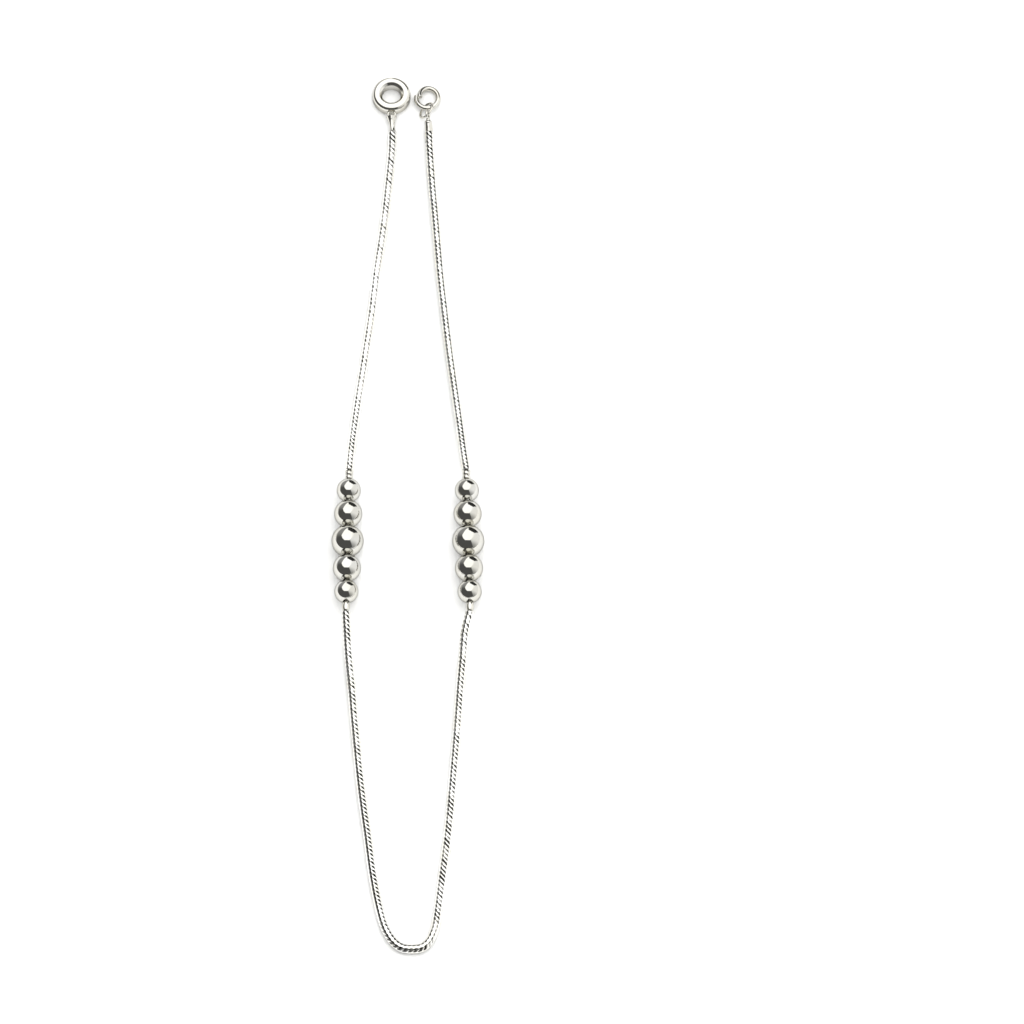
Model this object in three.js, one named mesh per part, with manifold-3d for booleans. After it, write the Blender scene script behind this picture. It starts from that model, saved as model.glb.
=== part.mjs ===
// A beaded silver anklet lying open on a flat surface.
//
// Three lengths of snake chain and two bead bars make one open loop: a thick end ring, the left arm
// of chain, a bar with five graduated ball beads, the chain's U bend, a second bar of beads, the
// right arm of chain, and a bent-wire hook ring on a jump ring.
//
// Millimetres, +Z up. The origin is on the surface, under the middle of the anklet's box.
// +Y points from the U bend to the rings, +X from the end-ring strand to the hook strand.

import * as THREE from 'three';
import { mergeVertices } from 'three/addons/utils/BufferGeometryUtils.js';
import Module from 'manifold-3d';

const wasm = await Module();
wasm.setup();

// ---- Driving dimensions ------------------------------------------------------------------------

const CHAIN_DIAMETER = 1.2;
const CHAIN_SIDES = 8;
const STEPS_PER_STATION = 2;

// Soldered ends meet the chain across a hair's gap, so that each piece stays its own solid.
const CHAIN_GAP = 0.1;

// Where the two arms of chain lie, from their ring ends down to just above the beads.
const ARM_STATIONS = [
  { y: 53.05, leftX: -2.0, rightX: 2.53, z: 0.66 },
  { y: 50.56, leftX: -2.05, rightX: 2.65, z: 0.605 },
  { y: 46.4, leftX: -2.41, rightX: 2.9, z: 0.605 },
  { y: 40.17, leftX: -3.04, rightX: 3.4, z: 0.605 },
  { y: 33.93, leftX: -3.86, rightX: 3.89, z: 0.605 },
  { y: 27.69, leftX: -4.54, rightX: 4.51, z: 0.605 },
  { y: 21.46, leftX: -5.38, rightX: 5.2, z: 0.615 },
  { y: 15.85, leftX: -6.14, rightX: 5.92, z: 0.7 },
  { y: 11.85, leftX: -6.64, rightX: 6.4, z: 1.0 },
  { y: 8.45, leftX: -7.0, rightX: 6.77, z: 1.56 },
];

// Where both sides of the U bend lie, from just below the beads down to its bottom.
const BEND_STATIONS = [
  { y: -16.75, leftX: -7.5, rightX: 7.08, z: 1.58 },
  { y: -20.15, leftX: -7.28, rightX: 6.79, z: 1.0 },
  { y: -24.15, leftX: -6.91, rightX: 6.45, z: 0.7 },
  { y: -29.65, leftX: -6.48, rightX: 6.1, z: 0.615 },
  { y: -38.4, leftX: -5.66, rightX: 5.45, z: 0.605 },
  { y: -44.22, leftX: -4.94, rightX: 4.98, z: 0.605 },
  { y: -50.15, leftX: -4.2, rightX: 4.29, z: 0.605 },
  { y: -54.35, leftX: -3.45, rightX: 3.8, z: 0.605 },
  { y: -57.25, leftX: -2.66, rightX: 3.36, z: 0.605 },
  { y: -59.05, leftX: -1.6, rightX: 2.6, z: 0.605 },
  { y: -59.77, leftX: -0.62, rightX: 1.72, z: 0.605 },
];
const BEND_BOTTOM = { x: 0.5, y: -59.94, z: 0.605 };

// The two bead bars lean slightly inwards at the top. Their largest beads rest on the surface.
const BEAD_BAR = { middleX: 7.44, y: -4.48, z: 2.0, diameter: 0.6 };
const BAR_LEAN = { left: 1.1, right: -1.4 };

// The five beads of a bar, from the ring end down, by their distance from the middle one.
const BEADS = [
  { number: 1, diameter: 3.0, along: 7.0 },
  { number: 2, diameter: 3.5, along: 3.75 },
  { number: 3, diameter: 4.0, along: 0 },
  { number: 4, diameter: 3.5, along: -3.75 },
  { number: 5, diameter: 3.0, along: -7.0 },
];
const BEAD_BORE = 0.8;
const BEAD_SEGMENTS = 20;
const BEAD_ARC_SEGMENTS = 10;

// The turned ends of a bar: two small rolled bands above the beads and one longer one below.
const BAR_END = { shoulder: 8.5, diameter: 1.0, neck: 0.76 };
const UPPER_BANDS = { count: 2, length: 0.55 };
const LOWER_BANDS = { count: 1, length: 1.2 };
const BAND_ARC_SEGMENTS = 6;
const BAR_SEGMENTS = 16;

// The thick closed ring at the end of the left arm: a flat top, straight outer wall and chamfered bore.
const END_RING = { x: -2.13, y: 58.17, outerRadius: 2.37, height: 1.5 };
const RING_FILLETS = { crown: 0.52, foot: 0.25, bore: 0.22 };
const CROWN_CHAMFER = 0.32;
const CROWN_RADIUS = 1.52;
const BORE_RADIUS = 1.15;
const END_RING_SEGMENTS = 40;
const FILLET_ARC_SEGMENTS = 4;

// The loop soldered to the end ring's wall, and how far the flared stem grips it from its foot.
const LUG = { x: -2.12, reach: 2.62, z: 0.8, middleRadius: 0.44, wire: 0.3, grip: 0.04 };

// The open wire ring: one turn and a little more, its last end passing under and outside its first.
const HOOK_RING = { x: 2.33, y: 57.91, acrossRadius: 1.34, alongRadius: 1.5, wire: 0.64 };
const HOOK_TILT = { farZ: 0.35, nearZ: 0.78 };
const HOOK_TURN = { from: 187, to: -192, steps: 52 };
const HOOK_TIP = { inset: 0.4, lift: 0.53, sweep: 130 };
const HOOK_TAIL = { outset: 0.03, drop: 0.12, sweep: 85 };
const WIRE_SIDES = 10;

// The small jump ring that joins the hook ring to the eye of the right chain end.
const JUMP_RING = { x: 2.2, y: 55.98, z: 0.96, middleRadius: 1.05, wire: 0.28, tilt: 50, turn: -21.5 };
const JUMP_SEGMENTS = 28;
const EYE = { middleRadius: 0.46, wire: 0.28, aroundJumpRing: 46 };
const EYE_SEGMENTS = 18;
const SMALL_WIRE_SIDES = 8;

// The soldered, plain ends of the chain, by the share of the way from the chain to the loop or eye.
const STEM_SEGMENTS = 16;
const LEFT_STEM_STATIONS = [
  { share: 0, diameter: 0.96 },
  { share: 0.15, diameter: 0.78 },
  { share: 0.4, diameter: 0.68 },
  { share: 0.65, diameter: 0.84 },
  { share: 0.85, diameter: 1.12 },
  { share: 1, diameter: 1.34 },
];
const RIGHT_STEM_STATIONS = [
  { share: 0, diameter: 1.0 },
  { share: 0.2, diameter: 0.96 },
  { share: 0.6, diameter: 0.92 },
  { share: 0.78, diameter: 0.84 },
  { share: 0.86, diameter: 0.58 },
  { share: 1, diameter: 0.5 },
];

// ---- Materials ---------------------------------------------------------------------------------

const silver = (roughness, color = 0xdededa) =>
  new THREE.MeshStandardMaterial({ color, roughness, metalness: 1 });

// ---- Helpers -----------------------------------------------------------------------------------

const degrees = THREE.MathUtils.degToRad;
const UP_AXIS = new THREE.Vector3(0, 1, 0);

function toSolid(geometry) {
  const bare = geometry.clone();
  bare.deleteAttribute('normal');
  bare.deleteAttribute('uv');
  const merged = mergeVertices(bare, 1e-5);
  return new wasm.Manifold(new wasm.Mesh({
    numProp: 3,
    vertProperties: new Float32Array(merged.attributes.position.array),
    triVerts: new Uint32Array(merged.index.array),
  }));
}

function toGeometry(solid) {
  const mesh = solid.getMesh();
  const geometry = new THREE.BufferGeometry();
  geometry.setAttribute('position', new THREE.BufferAttribute(new Float32Array(mesh.vertProperties), 3));
  geometry.setIndex(new THREE.BufferAttribute(new Uint32Array(mesh.triVerts), 1));
  geometry.computeVertexNormals();
  return geometry;
}

function join(...geometries) {
  const [first, ...others] = geometries.map(toSolid);
  return toGeometry(others.reduce((sum, solid) => sum.add(solid), first));
}

// Turns a geometry made around the Y axis so that its axis lies along a direction, and moves it.
function laidAlong(geometry, direction, place) {
  geometry.applyQuaternion(new THREE.Quaternion().setFromUnitVectors(UP_AXIS, direction));
  geometry.translate(place.x, place.y, place.z);
  return geometry;
}

function roundSection(diameter, sides) {
  const corners = [];
  for (let side = 0; side < sides; side += 1) {
    const angle = (2 * Math.PI * side) / sides;
    corners.push(new THREE.Vector2(Math.cos(angle), Math.sin(angle)).multiplyScalar(diameter / 2));
  }
  return new THREE.Shape(corners);
}

function sweptWire(curve, diameter, sides, steps) {
  return new THREE.ExtrudeGeometry(roundSection(diameter, sides), {
    extrudePath: curve,
    steps,
    bevelEnabled: false,
  });
}

// A closed wire ring around the Y axis.
function wireRing(middleRadius, wire, sides, segments) {
  const profile = [];
  for (let side = 0; side <= sides; side += 1) {
    const angle = (2 * Math.PI * (side % sides)) / sides;
    profile.push(new THREE.Vector2(
      middleRadius + (wire / 2) * Math.cos(angle),
      (wire / 2) * Math.sin(angle),
    ));
  }
  return new THREE.LatheGeometry(profile, segments);
}

// ---- Bead bars ---------------------------------------------------------------------------------

function barFrame(strand) {
  const lean = degrees(BAR_LEAN[strand]);
  const side = strand === 'left' ? -1 : 1;
  return {
    middle: new THREE.Vector3(side * BEAD_BAR.middleX, BEAD_BAR.y, BEAD_BAR.z),
    direction: new THREE.Vector3(Math.sin(lean), Math.cos(lean), 0),
  };
}

function barPoint(strand, along) {
  const { middle, direction } = barFrame(strand);
  return middle.clone().addScaledVector(direction, along);
}

// One end of a bar's outline, from the beads outwards, as rounded bands of equal length.
function bandPoints({ count, length }, side) {
  const points = [];
  const rise = (BAR_END.diameter - BAR_END.neck) / 2;
  const steps = count * BAND_ARC_SEGMENTS;
  for (let step = 0; step <= steps; step += 1) {
    const bandShare = (step % BAND_ARC_SEGMENTS) / BAND_ARC_SEGMENTS;
    points.push(new THREE.Vector2(
      BAR_END.neck / 2 + rise * Math.sin(Math.PI * bandShare),
      side * (BAR_END.shoulder + (count * length * step) / steps),
    ));
  }
  return points;
}

function barEnd(bands) {
  return BAR_END.shoulder + bands.count * bands.length;
}

function makeBar(strand) {
  const core = BEAD_BAR.diameter / 2;
  const profile = [
    new THREE.Vector2(0, -barEnd(LOWER_BANDS)),
    ...bandPoints(LOWER_BANDS, -1).reverse(),
    new THREE.Vector2(core, -BAR_END.shoulder),
    new THREE.Vector2(core, BAR_END.shoulder),
    ...bandPoints(UPPER_BANDS, 1),
    new THREE.Vector2(0, barEnd(UPPER_BANDS)),
  ];
  const { middle, direction } = barFrame(strand);
  return laidAlong(new THREE.LatheGeometry(profile, BAR_SEGMENTS), direction, middle);
}

function makeBead(diameter) {
  const radius = diameter / 2;
  const rimAngle = Math.acos(BEAD_BORE / 2 / radius);
  const profile = [];
  for (let step = 0; step <= BEAD_ARC_SEGMENTS; step += 1) {
    const angle = rimAngle * ((2 * step) / BEAD_ARC_SEGMENTS - 1);
    profile.push(new THREE.Vector2(radius * Math.cos(angle), radius * Math.sin(angle)));
  }
  profile.push(profile[0].clone());
  return new THREE.LatheGeometry(profile, BEAD_SEGMENTS);
}

// ---- Chain -------------------------------------------------------------------------------------

// Its steps follow the stations, so the close stations of the U bend give it short steps.
class StationCurve extends THREE.CatmullRomCurve3 {
  constructor(points) {
    super(points, false, 'centripetal');
  }

  getUtoTmapping(u) {
    return u;
  }
}

const stationPoints = (stations, strand) =>
  stations.map((station) => new THREE.Vector3(station[`${strand}X`], station.y, station.z));

const armRoute = (strand) => new StationCurve([
  ...stationPoints(ARM_STATIONS, strand),
  barPoint(strand, barEnd(UPPER_BANDS) + CHAIN_GAP),
]);

const bendRoute = new StationCurve([
  barPoint('left', -barEnd(LOWER_BANDS) - CHAIN_GAP),
  ...stationPoints(BEND_STATIONS, 'left'),
  new THREE.Vector3(BEND_BOTTOM.x, BEND_BOTTOM.y, BEND_BOTTOM.z),
  ...stationPoints(BEND_STATIONS, 'right').reverse(),
  barPoint('right', -barEnd(LOWER_BANDS) - CHAIN_GAP),
]);

function makeChain(route) {
  const steps = (route.points.length - 1) * STEPS_PER_STATION;
  return sweptWire(route, CHAIN_DIAMETER, CHAIN_SIDES, steps);
}

// Where a stem starts: a gap beyond the ring end of an arm, in line with it.
function stemStart(strand) {
  const route = armRoute(strand);
  return route.getPoint(0).addScaledVector(route.getTangent(0), -CHAIN_GAP);
}

function makeStem(from, to, stations) {
  const axis = new THREE.Vector3().subVectors(to, from);
  const length = axis.length();
  const profile = [
    new THREE.Vector2(0, 0),
    ...stations.map(({ share, diameter }) => new THREE.Vector2(diameter / 2, share * length)),
    new THREE.Vector2(0, length),
  ];
  return laidAlong(new THREE.LatheGeometry(profile, STEM_SEGMENTS), axis.normalize(), from);
}

// ---- End ring ----------------------------------------------------------------------------------

// The ring's body, standing on z = 0 on its flat underside.
function makeRingBody() {
  const { x, y, outerRadius, height } = END_RING;
  const { crown, foot, bore } = RING_FILLETS;
  const fillet = (radius, centreRadius, centreZ, fromAngle) => {
    const points = [];
    for (let step = 0; step <= FILLET_ARC_SEGMENTS; step += 1) {
      const angle = degrees(fromAngle + (90 * step) / FILLET_ARC_SEGMENTS);
      points.push(new THREE.Vector2(
        centreRadius + radius * Math.cos(angle),
        centreZ + radius * Math.sin(angle),
      ));
    }
    return points;
  };
  const profile = [
    ...fillet(foot, outerRadius - foot, foot, -90),
    ...fillet(crown, outerRadius - crown, height - crown, 0),
    new THREE.Vector2(CROWN_RADIUS, height),
    new THREE.Vector2(CROWN_RADIUS - CROWN_CHAMFER, height - CROWN_CHAMFER),
    ...fillet(bore, BORE_RADIUS + bore, bore, 180),
  ];
  profile.push(profile[0].clone());
  const body = new THREE.LatheGeometry(profile, END_RING_SEGMENTS);
  body.rotateX(Math.PI / 2);
  body.translate(x, y, 0);
  return body;
}

function makeEndRing() {
  const lug = wireRing(LUG.middleRadius, LUG.wire, SMALL_WIRE_SIDES, EYE_SEGMENTS);
  lug.rotateX(Math.PI / 2);
  lug.translate(LUG.x, END_RING.y - LUG.reach, LUG.z);
  const gripY = END_RING.y - LUG.reach - LUG.middleRadius + LUG.grip;
  const stem = makeStem(stemStart('left'), new THREE.Vector3(LUG.x, gripY, LUG.z), LEFT_STEM_STATIONS);
  return join(makeRingBody(), lug, stem);
}

// ---- Hook side ---------------------------------------------------------------------------------

// One wire bent round: its first end is drawn in and lifted, its last passes outside and under it.
class HookCurve extends THREE.Curve {
  getPoint(t, target = new THREE.Vector3()) {
    const angle = THREE.MathUtils.lerp(HOOK_TURN.from, HOOK_TURN.to, t);
    const tip = 1 - THREE.MathUtils.smoothstep(HOOK_TURN.from - angle, 0, HOOK_TIP.sweep);
    const tail = 1 - THREE.MathUtils.smoothstep(angle - HOOK_TURN.to, 0, HOOK_TAIL.sweep);
    const { acrossRadius, alongRadius } = HOOK_RING;
    const spread = 1 + (HOOK_TAIL.outset * tail - HOOK_TIP.inset * tip) / acrossRadius;
    const across = spread * acrossRadius * Math.cos(degrees(angle));
    const along = spread * alongRadius * Math.sin(degrees(angle));
    const nearness = 0.5 - along / (2 * alongRadius);
    const level = THREE.MathUtils.lerp(HOOK_TILT.farZ, HOOK_TILT.nearZ, nearness);
    const z = level + HOOK_TIP.lift * tip - HOOK_TAIL.drop * tail;
    return target.set(HOOK_RING.x + across, HOOK_RING.y + along, z);
  }
}

// The jump ring's plane holds a level line towards the chain and rises to the right.
const jumpTurn = degrees(JUMP_RING.turn);
const jumpTilt = degrees(JUMP_RING.tilt);
const jumpCentre = new THREE.Vector3(JUMP_RING.x, JUMP_RING.y, JUMP_RING.z);
const jumpNear = new THREE.Vector3(Math.sin(jumpTurn), -Math.cos(jumpTurn), 0);
const jumpRise = new THREE.Vector3(Math.cos(jumpTurn), Math.sin(jumpTurn), 0)
  .multiplyScalar(Math.cos(jumpTilt))
  .setZ(Math.sin(jumpTilt));

function makeJumpRing() {
  const ring = wireRing(JUMP_RING.middleRadius, JUMP_RING.wire, SMALL_WIRE_SIDES, JUMP_SEGMENTS);
  return laidAlong(ring, new THREE.Vector3().crossVectors(jumpNear, jumpRise), jumpCentre);
}

function makeHookSideEnd() {
  const around = degrees(EYE.aroundJumpRing);
  const eyePlace = jumpCentre.clone()
    .addScaledVector(jumpNear, JUMP_RING.middleRadius * Math.cos(around))
    .addScaledVector(jumpRise, JUMP_RING.middleRadius * Math.sin(around));
  const wireDirection = jumpRise.clone().multiplyScalar(Math.cos(around))
    .addScaledVector(jumpNear, -Math.sin(around));
  const start = stemStart('right');
  const axis = new THREE.Vector3().subVectors(eyePlace, start).normalize();
  const eyeNormal = wireDirection.addScaledVector(axis, -wireDirection.dot(axis)).normalize();
  const eye = wireRing(EYE.middleRadius, EYE.wire, SMALL_WIRE_SIDES, EYE_SEGMENTS);
  laidAlong(eye, eyeNormal, eyePlace);
  const stemTop = eyePlace.clone().addScaledVector(axis, -EYE.middleRadius);
  return join(makeStem(start, stemTop, RIGHT_STEM_STATIONS), eye);
}

// ---- Assembly ----------------------------------------------------------------------------------

const anklet = new THREE.Group();

function addPiece(name, geometry, material) {
  const piece = new THREE.Mesh(geometry, material);
  piece.name = name;
  anklet.add(piece);
  return piece;
}

for (const strand of ['left', 'right']) {
  addPiece(`chain_${strand}_arm`, makeChain(armRoute(strand)), silver(0.3, 0xc9c9c4));
  addPiece(`bead_bar_${strand}`, makeBar(strand), silver(0.15));
  for (const { number, diameter, along } of BEADS) {
    const bead = addPiece(`bead_${strand}_${number}`, makeBead(diameter), silver(0.05));
    bead.position.copy(barPoint(strand, along));
    bead.quaternion.setFromUnitVectors(UP_AXIS, barFrame(strand).direction);
  }
}
addPiece('chain_bend', makeChain(bendRoute), silver(0.3, 0xc9c9c4));
addPiece('end_ring', makeEndRing(), silver(0.1));
addPiece('hook_ring', sweptWire(new HookCurve(), HOOK_RING.wire, WIRE_SIDES, HOOK_TURN.steps), silver(0.12));
addPiece('jump_ring', makeJumpRing(), silver(0.15));
addPiece('hook_side_end', makeHookSideEnd(), silver(0.15));

export default anklet;
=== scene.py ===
"""The looks of a beaded silver anklet that lies open on a pale table.

Every piece is built as a fine smooth mesh on the route and sizes of the CAD frame: polished ball
beads, turned bead bars, snake chain with its nested plates, the thick end ring with its loop, and the
wire hook ring with its jump ring and eye. Lengths in the tables are millimetres, as in the CAD source.
"""

import math

import bpy
import numpy as np
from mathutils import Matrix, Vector


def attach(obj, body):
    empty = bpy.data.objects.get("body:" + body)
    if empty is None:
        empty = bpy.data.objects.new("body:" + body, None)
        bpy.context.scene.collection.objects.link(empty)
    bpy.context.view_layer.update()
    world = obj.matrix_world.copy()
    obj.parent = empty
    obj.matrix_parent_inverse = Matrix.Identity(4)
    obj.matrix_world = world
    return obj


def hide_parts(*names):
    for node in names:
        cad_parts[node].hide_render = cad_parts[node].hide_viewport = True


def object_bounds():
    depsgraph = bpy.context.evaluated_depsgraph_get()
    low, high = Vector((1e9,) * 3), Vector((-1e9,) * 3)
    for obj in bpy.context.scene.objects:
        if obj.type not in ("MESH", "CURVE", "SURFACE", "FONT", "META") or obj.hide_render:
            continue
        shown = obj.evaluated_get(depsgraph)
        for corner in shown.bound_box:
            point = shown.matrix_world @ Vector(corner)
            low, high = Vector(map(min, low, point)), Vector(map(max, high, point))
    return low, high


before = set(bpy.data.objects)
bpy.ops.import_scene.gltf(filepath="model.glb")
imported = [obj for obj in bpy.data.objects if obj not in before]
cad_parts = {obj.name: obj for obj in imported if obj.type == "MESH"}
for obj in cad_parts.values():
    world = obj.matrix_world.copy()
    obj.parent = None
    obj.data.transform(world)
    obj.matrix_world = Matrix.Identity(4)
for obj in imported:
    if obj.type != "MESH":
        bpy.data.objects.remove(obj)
cad_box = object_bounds()

MM = 0.001
TAU = 2 * math.pi
UP = np.array([0.0, 0.0, 1.0])

# ---- Driving dimensions, repeated from the CAD source ----------------------------------------------

CHAIN_RADIUS = 0.6
CHAIN_GAP = 0.1

# Where the two arms of chain lie: y, left x, right x, height.
ARM_STATIONS = [
    (53.05, -2.0, 2.53, 0.66),
    (50.56, -2.05, 2.65, 0.605),
    (46.4, -2.41, 2.9, 0.605),
    (40.17, -3.04, 3.4, 0.605),
    (33.93, -3.86, 3.89, 0.605),
    (27.69, -4.54, 4.51, 0.605),
    (21.46, -5.38, 5.2, 0.615),
    (15.85, -6.14, 5.92, 0.7),
    (11.85, -6.64, 6.4, 1.0),
    (8.45, -7.0, 6.77, 1.56),
]

# Where both sides of the U bend lie: y, left x, right x, height.
BEND_STATIONS = [
    (-16.75, -7.5, 7.08, 1.58),
    (-20.15, -7.28, 6.79, 1.0),
    (-24.15, -6.91, 6.45, 0.7),
    (-29.65, -6.48, 6.1, 0.615),
    (-38.4, -5.66, 5.45, 0.605),
    (-44.22, -4.94, 4.98, 0.605),
    (-50.15, -4.2, 4.29, 0.605),
    (-54.35, -3.45, 3.8, 0.605),
    (-57.25, -2.66, 3.36, 0.605),
    (-59.05, -1.6, 2.6, 0.605),
    (-59.77, -0.62, 1.72, 0.605),
]
BEND_BOTTOM = (0.5, -59.94, 0.605)

BAR_MIDDLE = (7.44, -4.48, 2.0)
BAR_LEAN = {"left": 1.1, "right": -1.4}
BAR_CORE_RADIUS = 0.3
BAR_END_RADIUS = 0.5
BAR_NECK_RADIUS = 0.38
BAR_SHOULDER = 8.5
CORE_END = BAR_SHOULDER - 0.02
UPPER_BANDS = (2, 0.55)
LOWER_BANDS = (1, 1.2)
BAND_FULLNESS = 0.6

BEADS = [(1, 3.0, 7.0), (2, 3.5, 3.75), (3, 4.0, 0.0), (4, 3.5, -3.75), (5, 3.0, -7.0)]
BEAD_BORE_RADIUS = 0.4
BEAD_LIP = 0.06

RING = {"x": -2.13, "y": 58.17, "outer": 2.37, "crown": 1.52, "bore": 1.15, "height": 1.5}
RING_FILLETS = {"crown": 0.52, "foot": 0.25, "bore": 0.22}
CROWN_CHAMFER = 0.32
LOOP = {"x": -2.12, "reach": 2.62, "z": 0.8, "middle": 0.44, "wire": 0.15, "grip": 0.04}

HOOK = {"x": 2.33, "y": 57.91, "across": 1.34, "along": 1.5, "wire": 0.32, "far_z": 0.35, "near_z": 0.78}
HOOK_TURN = (187.0, -192.0)
HOOK_TIP = {"inset": 0.4, "lift": 0.53, "sweep": 130.0}
HOOK_TAIL = {"outset": 0.03, "drop": 0.12, "sweep": 85.0}
JUMP = {
    "centre": (2.2, 55.98, 0.96), "middle": 1.05, "wire": 0.14, "tilt": 50.0, "turn": -21.5,
    "cut": 250.0, "hair": 0.02,
}
EYE = {"middle": 0.46, "wire": 0.14, "around": 46.0}

LEFT_STEM = [(0.0, 0.48), (0.15, 0.39), (0.4, 0.34), (0.65, 0.42), (0.85, 0.56), (1.0, 0.67)]
RIGHT_STEM = [(0.0, 0.5), (0.2, 0.48), (0.6, 0.46), (0.78, 0.42), (0.86, 0.29), (1.0, 0.25)]

# ---- Fine surface of the chain ----------------------------------------------------------------------

# The chain is eight-sided: the way that each side faces, in degrees from up, and its distance from the
# middle. Its plates' seams climb round it like threads, five at once. Its corners are harder on the
# plates than at the seams.
CHAIN_FLATS = [
    (0, 0.55), (52, 0.545), (90, 0.57), (128, 0.545), (180, 0.57), (232, 0.545), (270, 0.57), (308, 0.545)
]
SEAMED_CORNERS = (25, 155, 205, 335)
CORNER_HARDNESS = 70
SEAM_HARDNESS = 22
SEAM_PITCH = 0.58
SEAM_DEPTH = 0.085
SEAM_STARTS = 5
SEAM_ROWS = 8
COLUMNS = 64
CORNER_WIDTH = 12.0
SIDE_SEAMS = 0.1
BEND_SPREAD = 1.8

# How deep the seams are cut along each length, which also sets how dark they are painted: painted shade
# in the seams, dimples and corner lines. The dots are how deep the dimples are where the seams meet the
# corners of the upper flat. The lists go in even stations from the start: the line is how far the groove
# along a corner runs on between the dimples, and the seam is how deep the seams are on the flats beside
# that corner. Starboard is to the right for one who looks along the route.
LEFT_ARM_SEAMS_AND_SHADE = {
    "dots": 0.72,
    "starboard_line": [0.5, 0.2, 0.2, 0.2, 0.3],
    "port_line": [0.5, 0.45, 0.45, 0.45, 0.45],
    "starboard_seam": [0.7, 0.42, 0.33, 0.33, 0.33],
    "port_seam": [0.8, 0.55, 0.42, 0.42, 0.42],
}
RIGHT_ARM_SEAMS_AND_SHADE = {
    "dots": 0.92,
    "starboard_line": [0.4, 0.15, 0.1, 0.1, 0.15],
    "port_line": [0.5, 0.5, 0.5, 0.5, 0.5],
    "starboard_seam": [0.6, 0.33, 0.3, 0.3, 0.3],
    "port_seam": [0.75, 0.42, 0.4, 0.4, 0.4],
}
BEND_SEAMS_AND_SHADE = {
    "dots": 0.88,
    "starboard_line": [0.65, 0.65, 0.7, 0.8, 0.6, 0.1, 0.1, 0.1, 0.1],
    "port_line": [0.1, 0.1, 0.1, 0.1, 0.6, 0.1, 0.3, 0.5, 0.6],
    "starboard_seam": [0.5, 0.5, 0.55, 0.5, 0.1, 1.1, 0.7, 0.65, 0.6],
    "port_seam": [0.75, 0.75, 0.85, 1.1, 0.1, 1.0, 0.5, 0.5, 0.45],
}
ROLL_SWAY = 2.0
ROLL_STEP = 2.5

# The shape of the relief. A rise is where it starts and how much farther it is whole. The reaches are in
# degrees from the middle of the upper or lower flat: where the relief ends, and over how much it fades.
SEAM_STRENGTHS = (0.62, 1.25)
GROOVE_RISE = (0.35, 0.45)
DOT_RISE = (0.2, 0.4)
STARBOARD_RISE = (-12, 20)
SPREAD_REACH = (80, 25)
TOP_REACH = (52, 14)
DEEPEST_SEAM = 1.15
CAP_SHARE = 0.05
NUDGE = 1e-6

# Turned pieces are closed at their ends by faces of this radius.
CLOSING_RADIUS = 0.02


# ---- Node and mesh helpers --------------------------------------------------------------------------


def unit(vector):
    return np.asarray(vector, float) / np.linalg.norm(vector)


def smoothstep(x):
    x = np.clip(x, 0.0, 1.0)
    return x * x * (3 - 2 * x)


def skin(name, grid, wrap_rows=False, attributes=None):
    """A smooth closed mesh over a grid of rows of points in millimetres. Each row is a closed ring.

    Where the rows don't wrap, the first and last ring are closed by a face of their own.
    """
    rows, columns = grid.shape[:2]
    index = np.arange(rows * columns).reshape(rows, columns)
    lower = index if wrap_rows else index[:-1]
    upper = np.roll(index, -1, axis=0) if wrap_rows else index[1:]
    quads = np.stack(
        [lower, np.roll(lower, -1, axis=1), np.roll(upper, -1, axis=1), upper], axis=-1
    ).reshape(-1, 4)
    faces = quads.tolist()
    if not wrap_rows:
        faces += [index[0][::-1].tolist(), index[-1].tolist()]
    mesh = bpy.data.meshes.new(name)
    mesh.from_pydata((grid.reshape(-1, 3) * MM).tolist(), [], faces)
    for attribute, values in (attributes or {}).items():
        layer = mesh.attributes.new(attribute, "FLOAT", "POINT")
        layer.data.foreach_set("value", np.asarray(values, np.float32).ravel())
    mesh.validate()
    mesh.shade_smooth()
    piece = bpy.data.objects.new(name, mesh)
    bpy.context.scene.collection.objects.link(piece)
    return piece


def lathe(name, profile, origin, axis, segments=96, wrap_rows=False):
    """A turned piece: the profile's points are (distance along the axis, radius)."""
    axis = unit(axis)
    side = unit(np.cross(axis, UP if abs(axis[2]) < 0.9 else (0.0, 1.0, 0.0)))
    other = np.cross(axis, side)
    angles = np.arange(segments) * TAU / segments
    spokes = np.cos(angles)[:, None] * side + np.sin(angles)[:, None] * other
    grid = np.array([origin + along * axis + radius * spokes for along, radius in profile])
    return skin(name, grid, wrap_rows)


def wire(name, points, radius, sides=24, closed=False, end_round=0.0):
    """A round wire along points. Its open ends are rounded off over the given length."""
    points = np.asarray(points, float)
    if closed:
        tangents = np.roll(points, -1, axis=0) - np.roll(points, 1, axis=0)
    else:
        tangents = np.gradient(points, axis=0)
    tangents /= np.linalg.norm(tangents, axis=1, keepdims=True)
    normal = unit(np.cross(tangents[0], UP if abs(tangents[0][2]) < 0.9 else (1.0, 0.0, 0.0)))
    angles = np.arange(sides) * TAU / sides
    rows = []
    for point, tangent in zip(points, tangents):
        normal = unit(normal - np.dot(normal, tangent) * tangent)
        binormal = np.cross(tangent, normal)
        rows.append((point, tangent, normal, binormal))

    def ring(row, share, shift=0.0):
        point, tangent, across, other = row
        spokes = np.cos(angles)[:, None] * across + np.sin(angles)[:, None] * other
        return point + shift * tangent + radius * share * spokes

    if closed:
        return skin(name, np.array([ring(row, 1.0) for row in rows]), wrap_rows=True)

    def end(row, outwards):
        return [
            ring(row, 1 - end_round / radius * (1 - math.cos(a)), outwards * end_round * math.sin(a))
            for a in np.linspace(0, math.pi / 2, 5)[1:]
        ]

    grid = end(rows[0], -1)[::-1] + [ring(row, 1.0) for row in rows] + end(rows[-1], 1)
    return skin(name, np.array(grid))


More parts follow.
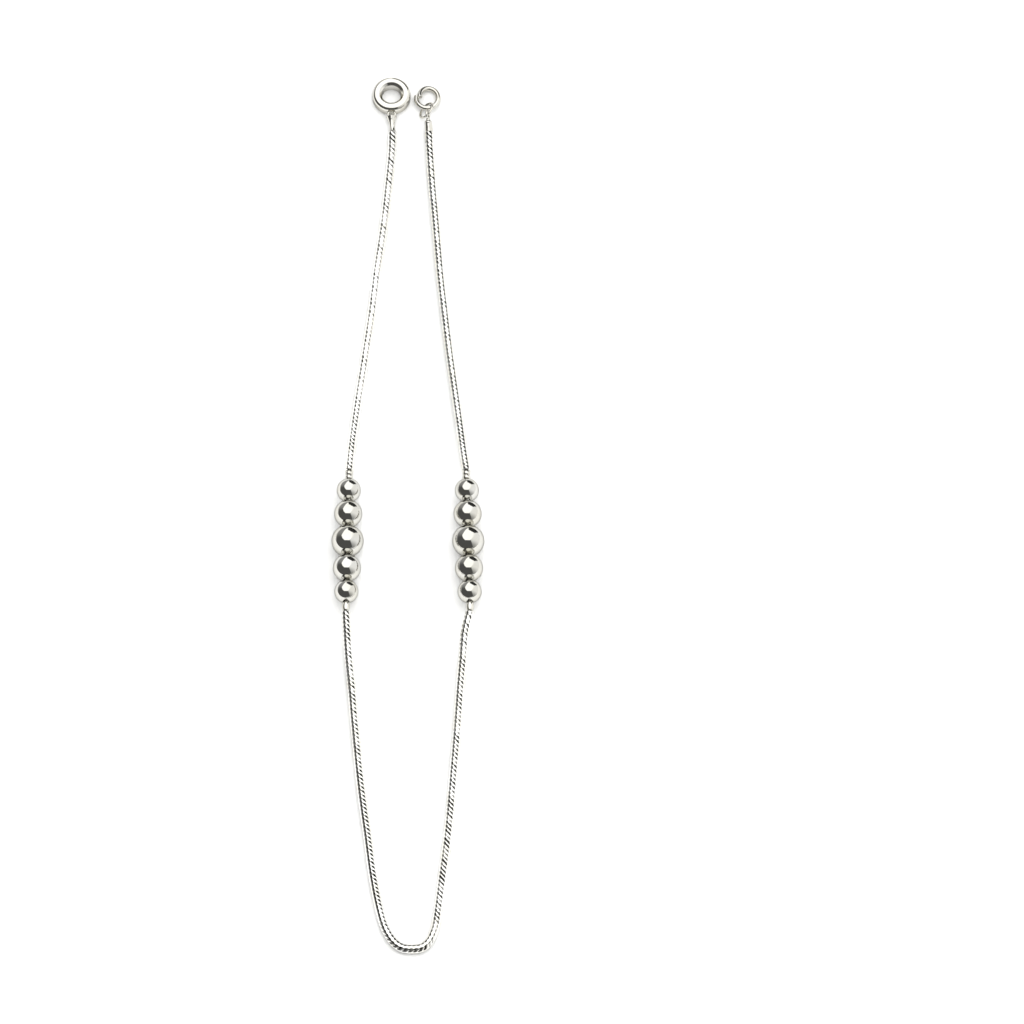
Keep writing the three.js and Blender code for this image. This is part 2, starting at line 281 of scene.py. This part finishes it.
def through(stations, count):
    """A smooth outline of (along, radius) points through a few stations."""
    shares, radii = np.array(stations, float).T
    slopes = np.gradient(radii, shares)
    fine = np.linspace(0, 1, count)
    span = np.clip(np.searchsorted(shares, fine, side="right") - 1, 0, len(shares) - 2)
    width = shares[span + 1] - shares[span]
    t = (fine - shares[span]) / width
    blend = t * t * (3 - 2 * t)
    rise = (t**3 - 2 * t**2 + t) * width * slopes[span]
    fall = (t**3 - t**2) * width * slopes[span + 1]
    radius = radii[span] * (1 - blend) + radii[span + 1] * blend + rise + fall
    return fine, radius


# ---- Materials --------------------------------------------------------------------------------------


BLOOM_SCALE = 420.0
BLOOM_WARMTH = (0.97, 0.955, 0.91)
BLOOM_RANGE = (0.35, 0.65)
# The range of the height attribute over which the painted seam shade fades out.
SEAM_SHADE_HEIGHTS = (0.3, 0.75)
HAIRLINE_SCALE = 2600.0
HAIRLINE_STRETCH = (1.0, 0.25, 1.0)
GLOSS_RANGE = (0.6, 1.5)
SCRATCH_HEIGHT = 0.00001


def node_of(tree, kind, **settings):
    node = tree.nodes.new(kind)
    for name, value in settings.items():
        setattr(node, name, value)
    return node


def silver(name, colour, roughness, scratch=0.0, seam=None, edge=0.35):
    """Polished silver: fine hairlines in its gloss and relief, a faint warm bloom, and on request painted
    shade that darkens its seams.
    """
    material = bpy.data.materials.new(name)
    material.use_nodes = True
    tree = material.node_tree
    shader = tree.nodes["Principled BSDF"]
    shader.inputs["Metallic"].default_value = 1.0
    shader.inputs["Specular Tint"].default_value = (edge, edge, edge, 1)
    place = node_of(tree, "ShaderNodeTexCoord")

    bloom = node_of(tree, "ShaderNodeTexNoise")
    bloom.inputs["Scale"].default_value = BLOOM_SCALE
    bloom.inputs["Detail"].default_value = 3.0
    tree.links.new(place.outputs["Object"], bloom.inputs["Vector"])
    tint = node_of(tree, "ShaderNodeValToRGB")
    tint.color_ramp.elements[0].position = BLOOM_RANGE[0]
    tint.color_ramp.elements[0].color = (*(c * s for c, s in zip(colour, BLOOM_WARMTH)), 1)
    tint.color_ramp.elements[1].position = BLOOM_RANGE[1]
    tint.color_ramp.elements[1].color = (*colour, 1)
    tree.links.new(bloom.outputs["Fac"], tint.inputs["Fac"])
    base = tint.outputs["Color"]

    # Painted shade: where the height attribute is low, in the seams, dimples and corner lines, the colour is
    # mixed towards the dark seam colour.
    if seam:
        groove = node_of(tree, "ShaderNodeAttribute", attribute_name="height")
        depth = node_of(tree, "ShaderNodeMapRange")
        depth.inputs["From Min"].default_value = SEAM_SHADE_HEIGHTS[0]
        depth.inputs["From Max"].default_value = SEAM_SHADE_HEIGHTS[1]
        tree.links.new(groove.outputs["Fac"], depth.inputs["Value"])
        mix = node_of(tree, "ShaderNodeMix", data_type="RGBA")
        mix.inputs[6].default_value = (*seam, 1)
        tree.links.new(base, mix.inputs[7])
        tree.links.new(depth.outputs["Result"], mix.inputs[0])
        base = mix.outputs[2]
    tree.links.new(base, shader.inputs["Base Color"])

    hairlines = node_of(tree, "ShaderNodeTexNoise")
    hairlines.inputs["Scale"].default_value = HAIRLINE_SCALE
    hairlines.inputs["Detail"].default_value = 6.0
    stretch = node_of(tree, "ShaderNodeMapping")
    stretch.inputs["Scale"].default_value = HAIRLINE_STRETCH
    tree.links.new(place.outputs["Object"], stretch.inputs["Vector"])
    tree.links.new(stretch.outputs["Vector"], hairlines.inputs["Vector"])
    gloss = node_of(tree, "ShaderNodeMapRange")
    gloss.inputs["To Min"].default_value = roughness * GLOSS_RANGE[0]
    gloss.inputs["To Max"].default_value = roughness * GLOSS_RANGE[1]
    tree.links.new(hairlines.outputs["Fac"], gloss.inputs["Value"])
    tree.links.new(gloss.outputs["Result"], shader.inputs["Roughness"])
    if scratch:
        relief = node_of(tree, "ShaderNodeBump")
        relief.inputs["Strength"].default_value = scratch
        relief.inputs["Distance"].default_value = SCRATCH_HEIGHT
        tree.links.new(hairlines.outputs["Fac"], relief.inputs["Height"])
        tree.links.new(relief.outputs["Normal"], shader.inputs["Normal"])
    return material


BEAD_SILVER = silver("bead_silver", (0.67, 0.665, 0.635), 0.03)
BAR_SILVER = silver("bar_silver", (0.76, 0.75, 0.71), 0.06, scratch=0.15)
RING_SILVER = silver("ring_silver", (0.74, 0.73, 0.69), 0.05, scratch=0.1)
WIRE_SILVER = silver("wire_silver", (0.72, 0.71, 0.67), 0.05, scratch=0.15)
# The chain's near-black seam colour is painted shade in its grooves and corner lines, laid over the real
# relief.
CHAIN_SILVER = silver("chain_silver", (0.94, 0.94, 0.925), 0.05, seam=(0.03, 0.029, 0.024))


def finish_piece(piece, material, slot, *nodes):
    """Gives a piece its finish, ties it to the anklet, and hides the CAD nodes that it stands for."""
    piece.data.materials.append(material)
    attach(piece, "root")
    if nodes:
        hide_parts(*nodes)
    return piece


# ---- Beads and bars ---------------------------------------------------------------------------------


def bar_line(strand):
    """The middle of a bead bar and the direction of its upper end."""
    side = -1 if strand == "left" else 1
    lean = math.radians(BAR_LEAN[strand])
    middle = np.array([side * BAR_MIDDLE[0], BAR_MIDDLE[1], BAR_MIDDLE[2]])
    return middle, np.array([math.sin(lean), math.cos(lean), 0.0])


def bead_profile(radius, arc_steps=64, lip_steps=6):
    """A ball with a through bore, whose edge is rolled in by a small lip."""
    lip_centre_radius = BEAD_BORE_RADIUS + BEAD_LIP
    lip_along = math.sqrt((radius - BEAD_LIP) ** 2 - lip_centre_radius**2)
    lip_angle = math.atan2(lip_along, lip_centre_radius)
    ball = [
        (radius * math.sin(a), radius * math.cos(a))
        for a in np.linspace(-lip_angle, lip_angle, arc_steps)
    ]
    upper = [
        (lip_along + BEAD_LIP * math.sin(a), lip_centre_radius + BEAD_LIP * math.cos(a))
        for a in np.linspace(lip_angle, math.pi, lip_steps)[1:]
    ]
    lower = [(-along, r) for along, r in upper[::-1]]
    return ball + upper + lower


def make_bead(strand, number, diameter, along):
    middle, direction = bar_line(strand)
    name = f"bead_{strand}_{number}"
    bead = lathe(
        f"{name}_polished",
        bead_profile(diameter / 2),
        middle + along * direction,
        direction,
        segments=128,
        wrap_rows=True,
    )
    return finish_piece(bead, BEAD_SILVER, "polished_bead", name)


def band_outline(count, length, side, steps=14):
    """Rounded bands with a fine groove between them, from the shoulder outwards."""
    rise = BAR_END_RADIUS - BAR_NECK_RADIUS
    outline = []
    for band in range(count):
        for share in np.linspace(0, 1, steps):
            height = math.sin(math.pi * share) ** BAND_FULLNESS if 0 < share < 1 else 0.0
            outline.append((side * (BAR_SHOULDER + (band + share) * length), BAR_NECK_RADIUS + rise * height))
    return outline


def make_bar(strand):
    middle, direction = bar_line(strand)
    upper = band_outline(*UPPER_BANDS, 1)
    lower = band_outline(*LOWER_BANDS, -1)
    core = [(-CORE_END, BAR_CORE_RADIUS), (CORE_END, BAR_CORE_RADIUS)]
    profile = [
        (lower[-1][0], CLOSING_RADIUS), *lower[::-1], *core, *upper, (upper[-1][0], CLOSING_RADIUS)
    ]
    bar = lathe(f"bead_bar_{strand}_turned", profile, middle, direction, segments=64)
    return finish_piece(bar, BAR_SILVER, "bead_bar", f"bead_bar_{strand}")


def bar_tip(strand, end):
    """The place of the chain's end, a gap beyond the upper (1) or lower (-1) end of a bar."""
    middle, direction = bar_line(strand)
    count, length = UPPER_BANDS if end == 1 else LOWER_BANDS
    return middle + end * (BAR_SHOULDER + count * length + CHAIN_GAP) * direction


# ---- Snake chain ------------------------------------------------------------------------------------


def smooth_route(points, steps=60):
    """The centripetal Catmull-Rom curve that the CAD tube follows, as fine points."""
    points = np.asarray(points, float)
    ends = [2 * points[0] - points[1], *points, 2 * points[-1] - points[-2]]
    route = []
    for p0, p1, p2, p3 in zip(ends, ends[1:], ends[2:], ends[3:]):
        d0, d1, d2 = (math.sqrt(np.linalg.norm(b - a)) for a, b in ((p0, p1), (p1, p2), (p2, p3)))
        t1 = ((p1 - p0) / d0 - (p2 - p0) / (d0 + d1) + (p2 - p1) / d1) * d1
        t2 = ((p2 - p1) / d1 - (p3 - p1) / (d1 + d2) + (p3 - p2) / d2) * d1
        for t in np.arange(steps) / steps:
            route.append(
                p1
                + t1 * t
                + (3 * (p2 - p1) - 2 * t1 - t2) * t**2
                + (2 * (p1 - p2) + t1 + t2) * t**3
            )
    route.append(points[-1])
    return np.array(route)


def soft_section(angles, hardness):
    """The distance from the middle of the chain to its eight flat sides, with their corners softened."""
    total = 0.0
    for facing, distance in CHAIN_FLATS:
        nearness = np.maximum(np.cos(angles - math.radians(facing)), 0.0) / distance
        total = total + nearness**hardness
    return np.minimum(total ** (-1 / hardness), CHAIN_RADIUS)


def risen(value, rise):
    start, reach = rise
    return smoothstep((value - start) / reach)


def within(value, reach):
    end, fade = reach
    return smoothstep((end - value) / fade)


def make_chain(name, stations, rolls, seams_and_shade, seed):
    """An eight-sided snake chain round a route, with a flat side up.

    The rolls turn it, in degrees, at even stations from the start. Its seams are cut into the upper and
    lower flat and deepest at their corners. They fade on the other sides, except where a bend spreads the
    plates. The corners are crisp on the plates and worn soft at the seams. The deeper a place is sunk, the
    darker it is painted: painted shade in the seams, dimples and corner lines.
    """
    route = smooth_route(stations)
    steps = np.linalg.norm(np.diff(route, axis=0), axis=1)
    along = np.concatenate([[0], np.cumsum(steps)])
    length = along[-1]
    seams = round(length / SEAM_PITCH)
    places = np.linspace(0, length, seams * SEAM_ROWS + 1)
    angles = -math.pi + np.arange(COLUMNS) * TAU / COLUMNS
    random = np.random.default_rng(seed)

    sway_places = np.arange(0, length + ROLL_STEP, ROLL_STEP)
    sway = ROLL_SWAY * random.uniform(-1, 1, len(sway_places))
    roll = np.interp(places, np.linspace(0, length, len(rolls)), rolls)
    roll = np.radians(roll + np.interp(places, sway_places, sway))[:, None]
    turned = angles[None] - roll

    climb = places[:, None] * seams / length + SEAM_STARTS * angles[None] / TAU + SEAM_STARTS
    share = climb - np.floor(climb + NUDGE)
    strengths = random.uniform(*SEAM_STRENGTHS, seams + 2 * SEAM_STARTS + 1)
    strength = strengths[np.floor(climb + 0.5 + NUDGE).astype(int)]
    from_plate = np.abs(2 * share - 1)
    groove = risen(from_plate, GROOVE_RISE) * strength
    dot = risen(from_plate, DOT_RISE) * strength
    centre = np.stack([np.interp(places, along, route[:, k]) for k in range(3)], axis=-1)[:, None]
    slopes = np.gradient(route, along, axis=0)
    tangent = np.stack([np.interp(places, along, slopes[:, k]) for k in range(3)], axis=-1)[:, None]
    tangent /= np.linalg.norm(tangent, axis=-1, keepdims=True)
    across = np.cross(tangent, UP)
    across /= np.linalg.norm(across, axis=-1, keepdims=True)
    above = np.cross(across, tangent)
    spoke = np.sin(angles)[None, :, None] * across + np.cos(angles)[None, :, None] * above
    bending = np.gradient(tangent[:, 0], places, axis=0)[:, None]
    spreading = np.maximum(-(bending * spoke).sum(-1), 0.0)

    turned_degrees = np.degrees(turned)
    off_flat = np.abs((turned_degrees + 90) % 180 - 90)
    off_corner = np.min([np.abs((turned_degrees - c + 180) % 360 - 180) for c in SEAMED_CORNERS], axis=0)
    valley = np.exp(-((off_corner / CORNER_WIDTH) ** 2))
    starboard = risen(turned_degrees, STARBOARD_RISE)

    def depth_and_shade(kind):
        sides = []
        for where in ("port", "starboard"):
            values = seams_and_shade[f"{where}_{kind}"]
            sides.append(np.interp(places, np.linspace(0, length, len(values)), values)[:, None])
        return sides[0] + (sides[1] - sides[0]) * starboard

    side = SIDE_SEAMS + BEND_SPREAD * spreading * within(off_flat, SPREAD_REACH)
    relief = np.maximum(side, depth_and_shade("seam") * within(off_flat, TOP_REACH))
    line = depth_and_shade("line")
    sunk = np.maximum(groove * relief, seams_and_shade["dots"] * valley * (line + (1 - line) * dot))
    hardness = SEAM_HARDNESS + (CORNER_HARDNESS - SEAM_HARDNESS) * (1 - np.minimum(dot, 1))
    radius = soft_section(turned, hardness) - SEAM_DEPTH * np.minimum(sunk, DEEPEST_SEAM)
    grid = centre + radius[..., None] * spoke
    caps = [row.mean(0) + CAP_SHARE * (row - row.mean(0)) for row in (grid[0], grid[-1])]
    grid = np.concatenate([caps[0][None], grid, caps[1][None]])
    # The height attribute darkens the sunk places in the material: painted shade.
    height = np.concatenate([np.zeros((1, COLUMNS)), 1 - sunk, np.zeros((1, COLUMNS))])
    chain = skin(f"{name}_plates", grid, attributes={"height": height})
    return finish_piece(chain, CHAIN_SILVER, "snake_chain", name)


def arm_points(strand):
    column = 1 if strand == "left" else 2
    return [*(np.array([row[column], row[0], row[3]]) for row in ARM_STATIONS), bar_tip(strand, 1)]


def bend_points():
    left = [np.array([row[1], row[0], row[3]]) for row in BEND_STATIONS]
    right = [np.array([row[2], row[0], row[3]]) for row in BEND_STATIONS]
    return [bar_tip("left", -1), *left, np.array(BEND_BOTTOM), *right[::-1], bar_tip("right", -1)]


# ---- End ring ---------------------------------------------------------------------------------------


def stem_start(strand):
    """A stem starts a gap beyond the ring end of an arm, in line with it."""
    route = smooth_route(arm_points(strand))
    return route[0] + CHAIN_GAP * unit(route[0] - route[1])


def make_stem(name, start, finish, stations, slot_name, material, corner=0.05, rim=0.03):
    """A turned chain end. Its own two ends are broken at the edges by the corner and the rim."""
    axis = finish - start
    length = np.linalg.norm(axis)
    shares, radii = through(stations, 60)
    profile = [(0.0, CLOSING_RADIUS), (0.0, radii[0] - corner)]
    profile += [(max(share * length, rim), radius) for share, radius in zip(shares, radii)]
    profile += [(length, radii[-1] - corner), (length, CLOSING_RADIUS)]
    stem = lathe(name, profile, start, axis, segments=64)
    return finish_piece(stem, material, slot_name)


def make_end_ring():
    def fillet(radius, centre_radius, centre_z, start, steps=16):
        return [
            (centre_z + radius * math.sin(a), centre_radius + radius * math.cos(a))
            for a in np.linspace(math.radians(start), math.radians(start + 90), steps)
        ]

    def soft_corner(before, corner, after, reach=0.06, steps=8):
        before, corner, after = (np.array(point) for point in (before, corner, after))
        start, finish = corner + reach * unit(before - corner), corner + reach * unit(after - corner)
        t = np.linspace(0, 1, steps)[:, None]
        return [tuple(row) for row in start * (1 - t) ** 2 + 2 * corner * t * (1 - t) + finish * t**2]

    foot, top, bore = (RING_FILLETS[edge] for edge in ("foot", "crown", "bore"))
    crown = (RING["height"], RING["crown"])
    throat = (RING["height"] - CROWN_CHAMFER, RING["crown"] - CROWN_CHAMFER)
    outline = [
        *fillet(foot, RING["outer"] - foot, foot, -90),
        *fillet(top, RING["outer"] - top, RING["height"] - top, 0),
        *soft_corner((RING["height"], RING["outer"]), crown, throat),
        *soft_corner(crown, throat, (bore, RING["bore"])),
        *fillet(bore, RING["bore"] + bore, bore, 180),
    ]
    centre = np.array([RING["x"], RING["y"], 0.0])
    ring = lathe("end_ring_body", outline, centre, UP, segments=160, wrap_rows=True)
    finish_piece(ring, RING_SILVER, "polished_ring", "end_ring")
    loop_centre = np.array([LOOP["x"], RING["y"] - LOOP["reach"], LOOP["z"]])
    angles = np.arange(72) * TAU / 72
    circle = [
        loop_centre + LOOP["middle"] * np.array([math.cos(a), math.sin(a), 0.0]) for a in angles
    ]
    loop = wire("end_ring_loop", circle, LOOP["wire"], closed=True)
    finish_piece(loop, RING_SILVER, "polished_ring")
    foot = loop_centre - np.array([0.0, LOOP["middle"] - LOOP["grip"], 0.0])
    make_stem("end_ring_stem", stem_start("left"), foot, LEFT_STEM, "polished_ring", RING_SILVER)


# ---- Hook side --------------------------------------------------------------------------------------


def hook_points(count=180):
    start, finish = HOOK_TURN
    angles = np.linspace(start, finish, count)
    tip = 1 - smoothstep((start - angles) / HOOK_TIP["sweep"])
    tail = 1 - smoothstep((angles - finish) / HOOK_TAIL["sweep"])
    spread = 1 + (HOOK_TAIL["outset"] * tail - HOOK_TIP["inset"] * tip) / HOOK["across"]
    x = spread * HOOK["across"] * np.cos(np.radians(angles))
    y = spread * HOOK["along"] * np.sin(np.radians(angles))
    near = 0.5 - y / (2 * HOOK["along"])
    z = HOOK["far_z"] + (HOOK["near_z"] - HOOK["far_z"]) * near
    z += HOOK_TIP["lift"] * tip - HOOK_TAIL["drop"] * tail
    return np.stack([HOOK["x"] + x, HOOK["y"] + y, z], axis=-1)


def make_hook_side():
    hook = wire("hook_ring_wire", hook_points(), HOOK["wire"], sides=32, end_round=0.06)
    finish_piece(hook, WIRE_SILVER, "clasp_wire", "hook_ring")

    turn, tilt = math.radians(JUMP["turn"]), math.radians(JUMP["tilt"])
    near = np.array([math.sin(turn), -math.cos(turn), 0.0])
    level = np.array([math.cos(turn), math.sin(turn), 0.0])
    rise = math.cos(tilt) * level + math.sin(tilt) * UP
    centre = np.array(JUMP["centre"])
    # The jump ring's cut is closed to a hair and lies on its low side.
    cut, hair = math.radians(JUMP["cut"]), JUMP["hair"]
    around = np.linspace(cut + hair, cut + TAU - hair, 120)
    ring = [centre + JUMP["middle"] * (math.cos(a) * near + math.sin(a) * rise) for a in around]
    jump = wire("jump_ring_wire", ring, JUMP["wire"], sides=20, end_round=0.01)
    finish_piece(jump, WIRE_SILVER, "clasp_wire", "jump_ring")

    at = math.radians(EYE["around"])
    place = centre + JUMP["middle"] * (math.cos(at) * near + math.sin(at) * rise)
    passing = math.cos(at) * rise - math.sin(at) * near
    start = stem_start("right")
    axis = unit(place - start)
    normal = unit(passing - np.dot(passing, axis) * axis)
    side = np.cross(normal, axis)
    eye_circle = [
        place + EYE["middle"] * (math.cos(a) * axis + math.sin(a) * side)
        for a in np.arange(64) * TAU / 64
    ]
    eye = wire("hook_side_eye", eye_circle, EYE["wire"], sides=20, closed=True)
    finish_piece(eye, WIRE_SILVER, "clasp_wire", "hook_side_end")
    foot = place - EYE["middle"] * axis
    make_stem("hook_side_stem", start, foot, RIGHT_STEM, "clasp_wire", WIRE_SILVER)


# ---- Studio -----------------------------------------------------------------------------------------


TABLE_HALF = 20.0
TABLE_COLOUR = (0.86, 0.86, 0.855, 1)


def make_table():
    mesh = bpy.data.meshes.new("table")
    half = TABLE_HALF
    mesh.from_pydata(
        [(-half, -half, 0), (half, -half, 0), (half, half, 0), (-half, half, 0)], [], [(0, 1, 2, 3)]
    )
    table = bpy.data.objects.new("table", mesh)
    bpy.context.scene.collection.objects.link(table)
    paper = bpy.data.materials.new("table_paper")
    paper.use_nodes = True
    shader = paper.node_tree.nodes["Principled BSDF"]
    shader.inputs["Base Color"].default_value = TABLE_COLOUR
    shader.inputs["Roughness"].default_value = 0.9
    shader.inputs["Specular IOR Level"].default_value = 0.1
    mesh.materials.append(paper)


class Formula:
    """Small arithmetic on shader sockets, so that the studio reads as a formula."""

    def __init__(self, tree):
        self.tree = tree

    def do(self, operation, *values, clamp=False):
        node = node_of(self.tree, "ShaderNodeMath", operation=operation, use_clamp=clamp)
        for socket, value in zip(node.inputs, values):
            if isinstance(value, (int, float)):
                socket.default_value = value
            else:
                self.tree.links.new(value, socket)
        return node.outputs[0]

    def step(self, value, low, high):
        """0 below low, 1 above high, smooth between them. Low may be the larger one."""
        node = node_of(self.tree, "ShaderNodeMapRange", interpolation_type="SMOOTHSTEP")
        self.tree.links.new(value, node.inputs["Value"])
        flipped = low > high
        node.inputs["From Min"].default_value = min(low, high)
        node.inputs["From Max"].default_value = max(low, high)
        node.inputs["To Min"].default_value = 1.0 if flipped else 0.0
        node.inputs["To Max"].default_value = 0.0 if flipped else 1.0
        return node.outputs["Result"]

    def between(self, value, low, high, soft):
        rise = self.step(value, low - soft, low + soft)
        fall = self.step(value, high + soft, high - soft)
        return self.do("MULTIPLY", rise, fall)

    def mix(self, share, start, finish):
        """start where share is 0, finish where it is 1."""
        reach = self.do("SUBTRACT", finish, start)
        return self.do("MULTIPLY_ADD", reach, share, start)


# The softbox, as the corners of a slanting shape: degrees to the right of and beyond the zenith. The
# edges are how soft the side after each corner is.
SOFTBOX_CORNERS = [(-3, 76), (-24, 47), (-40, 24), (-36, -3), (-22, -21), (14, -22), (32, 0), (40, 66)]
SOFTBOX_EDGES = [2, 4, 3, 3, 2, 3, 12, 1]
SOFTBOX_LIGHT = 1.6
STUDIO_COLOUR = (1.0, 1.0, 0.99, 1)
FILL_LIGHT = 2.5
FILL_SPREAD = 140.0
FILL_FROM = (0.1, -0.15, 1.0)

# The room round the softbox: how light each part is, and where it lies, in degrees of azimuth and
# elevation. The steps of the right wall and its shade are shares of the way that it faces.
DARK_ROOM = 0.1
LEFT_PATCH = 0.35
LEFT_PATCH_SPAN = (-62.0, -2.0, 22.0)
LOW_BAND = 0.82
LOW_BAND_ELEVATION = (12.0, 1.0)
LOW_BAND_AZIMUTH = (-100.0, -70.0)
RIGHT_WALL = (0.3, 1.15)
WALL_FACING = (0.854, 0.503, -0.129)
WALL_EDGE = (-0.1, 0.06)
WALL_AZIMUTH = (40.0, 52.0)
WALL_SHADE = (-0.95, -0.1)
BLACK_FLAG = 0.046
FLAG_SPAN = (2.0, 48.0, 3.0)
FLAG_MIDDLE = 26.0
FLAG_TOP = 40.0
FLAG_SLOPE = -0.3
FLAG_EDGE = 1.5


def make_studio_light():
    """A softbox overhead that leans to the far side, in a dark room with a pale right wall, and a fill."""
    world = bpy.data.worlds.new("studio")
    bpy.context.scene.world = world
    world.use_nodes = True
    tree = world.node_tree
    background = tree.nodes["Background"]
    formula = Formula(tree)
    place = node_of(tree, "ShaderNodeTexCoord")
    split = node_of(tree, "ShaderNodeSeparateXYZ")
    tree.links.new(place.outputs["Generated"], split.inputs[0])
    x, y, z = split.outputs

    lateral = formula.do("DEGREES", formula.do("ARCSINE", x))
    over = formula.do("DEGREES", formula.do("ARCTAN2", y, z))
    azimuth = formula.do("DEGREES", formula.do("ARCTAN2", x, y))
    elevation = formula.do("DEGREES", formula.do("ARCSINE", z))

    softbox = 1.0
    corners = zip(SOFTBOX_CORNERS, SOFTBOX_CORNERS[1:] + SOFTBOX_CORNERS[:1], SOFTBOX_EDGES)
    for start, finish, soft in corners:
        side = np.array(finish, float) - np.array(start, float)
        inwards = unit((-side[1], side[0]))
        distance = formula.do(
            "MULTIPLY_ADD", lateral, float(inwards[0]),
            formula.do("MULTIPLY_ADD", over, float(inwards[1]), -float(inwards @ np.array(start))),
        )
        softbox = formula.do("MULTIPLY", softbox, formula.step(distance, -soft, soft))

    # The dark room is lighter behind the left and just above the table, and has a pale wall on the right.
    behind = formula.between(azimuth, *LEFT_PATCH_SPAN)
    light = formula.mix(behind, DARK_ROOM, LEFT_PATCH)
    low = formula.do(
        "MULTIPLY",
        formula.step(elevation, *LOW_BAND_ELEVATION),
        formula.step(azimuth, *LOW_BAND_AZIMUTH),
    )
    light = formula.mix(low, light, LOW_BAND)
    by_x, by_y, by_z = WALL_FACING
    facing = formula.do("MULTIPLY_ADD", y, by_y, formula.do("MULTIPLY", z, by_z))
    facing = formula.do("MULTIPLY_ADD", x, by_x, facing)
    right = formula.do(
        "MULTIPLY", formula.step(facing, *WALL_EDGE), formula.step(azimuth, *WALL_AZIMUTH)
    )
    wall = formula.mix(formula.step(y, *WALL_SHADE), *RIGHT_WALL)
    light = formula.mix(right, light, wall)
    off_middle = formula.do("ABSOLUTE", formula.do("SUBTRACT", azimuth, FLAG_MIDDLE))
    flag_top = formula.do("MULTIPLY_ADD", off_middle, FLAG_SLOPE, FLAG_TOP)
    flag = formula.do(
        "MULTIPLY",
        formula.between(azimuth, *FLAG_SPAN),
        formula.step(formula.do("SUBTRACT", flag_top, elevation), -FLAG_EDGE, FLAG_EDGE),
    )
    light = formula.mix(softbox, light, SOFTBOX_LIGHT)
    light = formula.mix(flag, light, BLACK_FLAG)
    tree.links.new(light, background.inputs["Strength"])
    background.inputs["Color"].default_value = STUDIO_COLOUR

    fill = bpy.data.lights.new("fill", "SUN")
    fill.energy = FILL_LIGHT
    fill.angle = math.radians(FILL_SPREAD)
    lamp = bpy.data.objects.new("fill", fill)
    bpy.context.scene.collection.objects.link(lamp)
    lamp.rotation_mode = "QUATERNION"
    lamp.rotation_quaternion = Vector(FILL_FROM).to_track_quat("Z", "Y")
    lamp.visible_glossy = False


# The camera is far enough away that lines stay almost parallel. Views from other sides keep its lens and
# see no farther than a hundred times half the size of the piece, so it stands no farther than this.
CAMERA_ELEVATION = 63.0
CAMERA_DISTANCE = 4.2
CAMERA_SENSOR = 36.0
CAMERA_SIGHT = 60.0
VIEW_WIDTH = 0.1264
VIEW_OFFSET = (0.01284, 0.00053)


def make_camera():
    """Looks down at the table from the near side, with the piece left of the middle."""
    elevation = math.radians(CAMERA_ELEVATION)
    low, high = cad_box
    target = Vector(
        ((low.x + high.x) / 2 + VIEW_OFFSET[0], (low.y + high.y) / 2 + VIEW_OFFSET[1], 0.0)
    )
    back = Vector((0.0, -math.cos(elevation), math.sin(elevation)))
    data = bpy.data.cameras.new("camera")
    data.sensor_width = CAMERA_SENSOR
    data.lens = CAMERA_SENSOR * CAMERA_DISTANCE / VIEW_WIDTH
    data.clip_end = CAMERA_SIGHT
    camera = bpy.data.objects.new("camera", data)
    bpy.context.scene.collection.objects.link(camera)
    camera.location = target + CAMERA_DISTANCE * back
    camera.rotation_mode = "QUATERNION"
    camera.rotation_quaternion = (-back).to_track_quat("-Z", "Y")
    bpy.context.scene.camera = camera


def set_tone():
    settings = bpy.context.scene.view_settings
    settings.view_transform = "Standard"
    settings.look = "None"
    settings.exposure = 0.0


# ---- Assembly ---------------------------------------------------------------------------------------

make_camera()
for strand in ("left", "right"):
    make_bar(strand)
    for bead_number, bead_diameter, bead_along in BEADS:
        make_bead(strand, bead_number, bead_diameter, bead_along)
make_chain("chain_left_arm", arm_points("left"), (-5, -5), LEFT_ARM_SEAMS_AND_SHADE, seed=11)
make_chain("chain_right_arm", arm_points("right"), (-5, -5), RIGHT_ARM_SEAMS_AND_SHADE, seed=12)
make_chain("chain_bend", bend_points(), (-6, -4, 0, 5, 7), BEND_SEAMS_AND_SHADE, seed=13)
make_end_ring()
make_hook_side()
make_table()
make_studio_light()
set_tone()
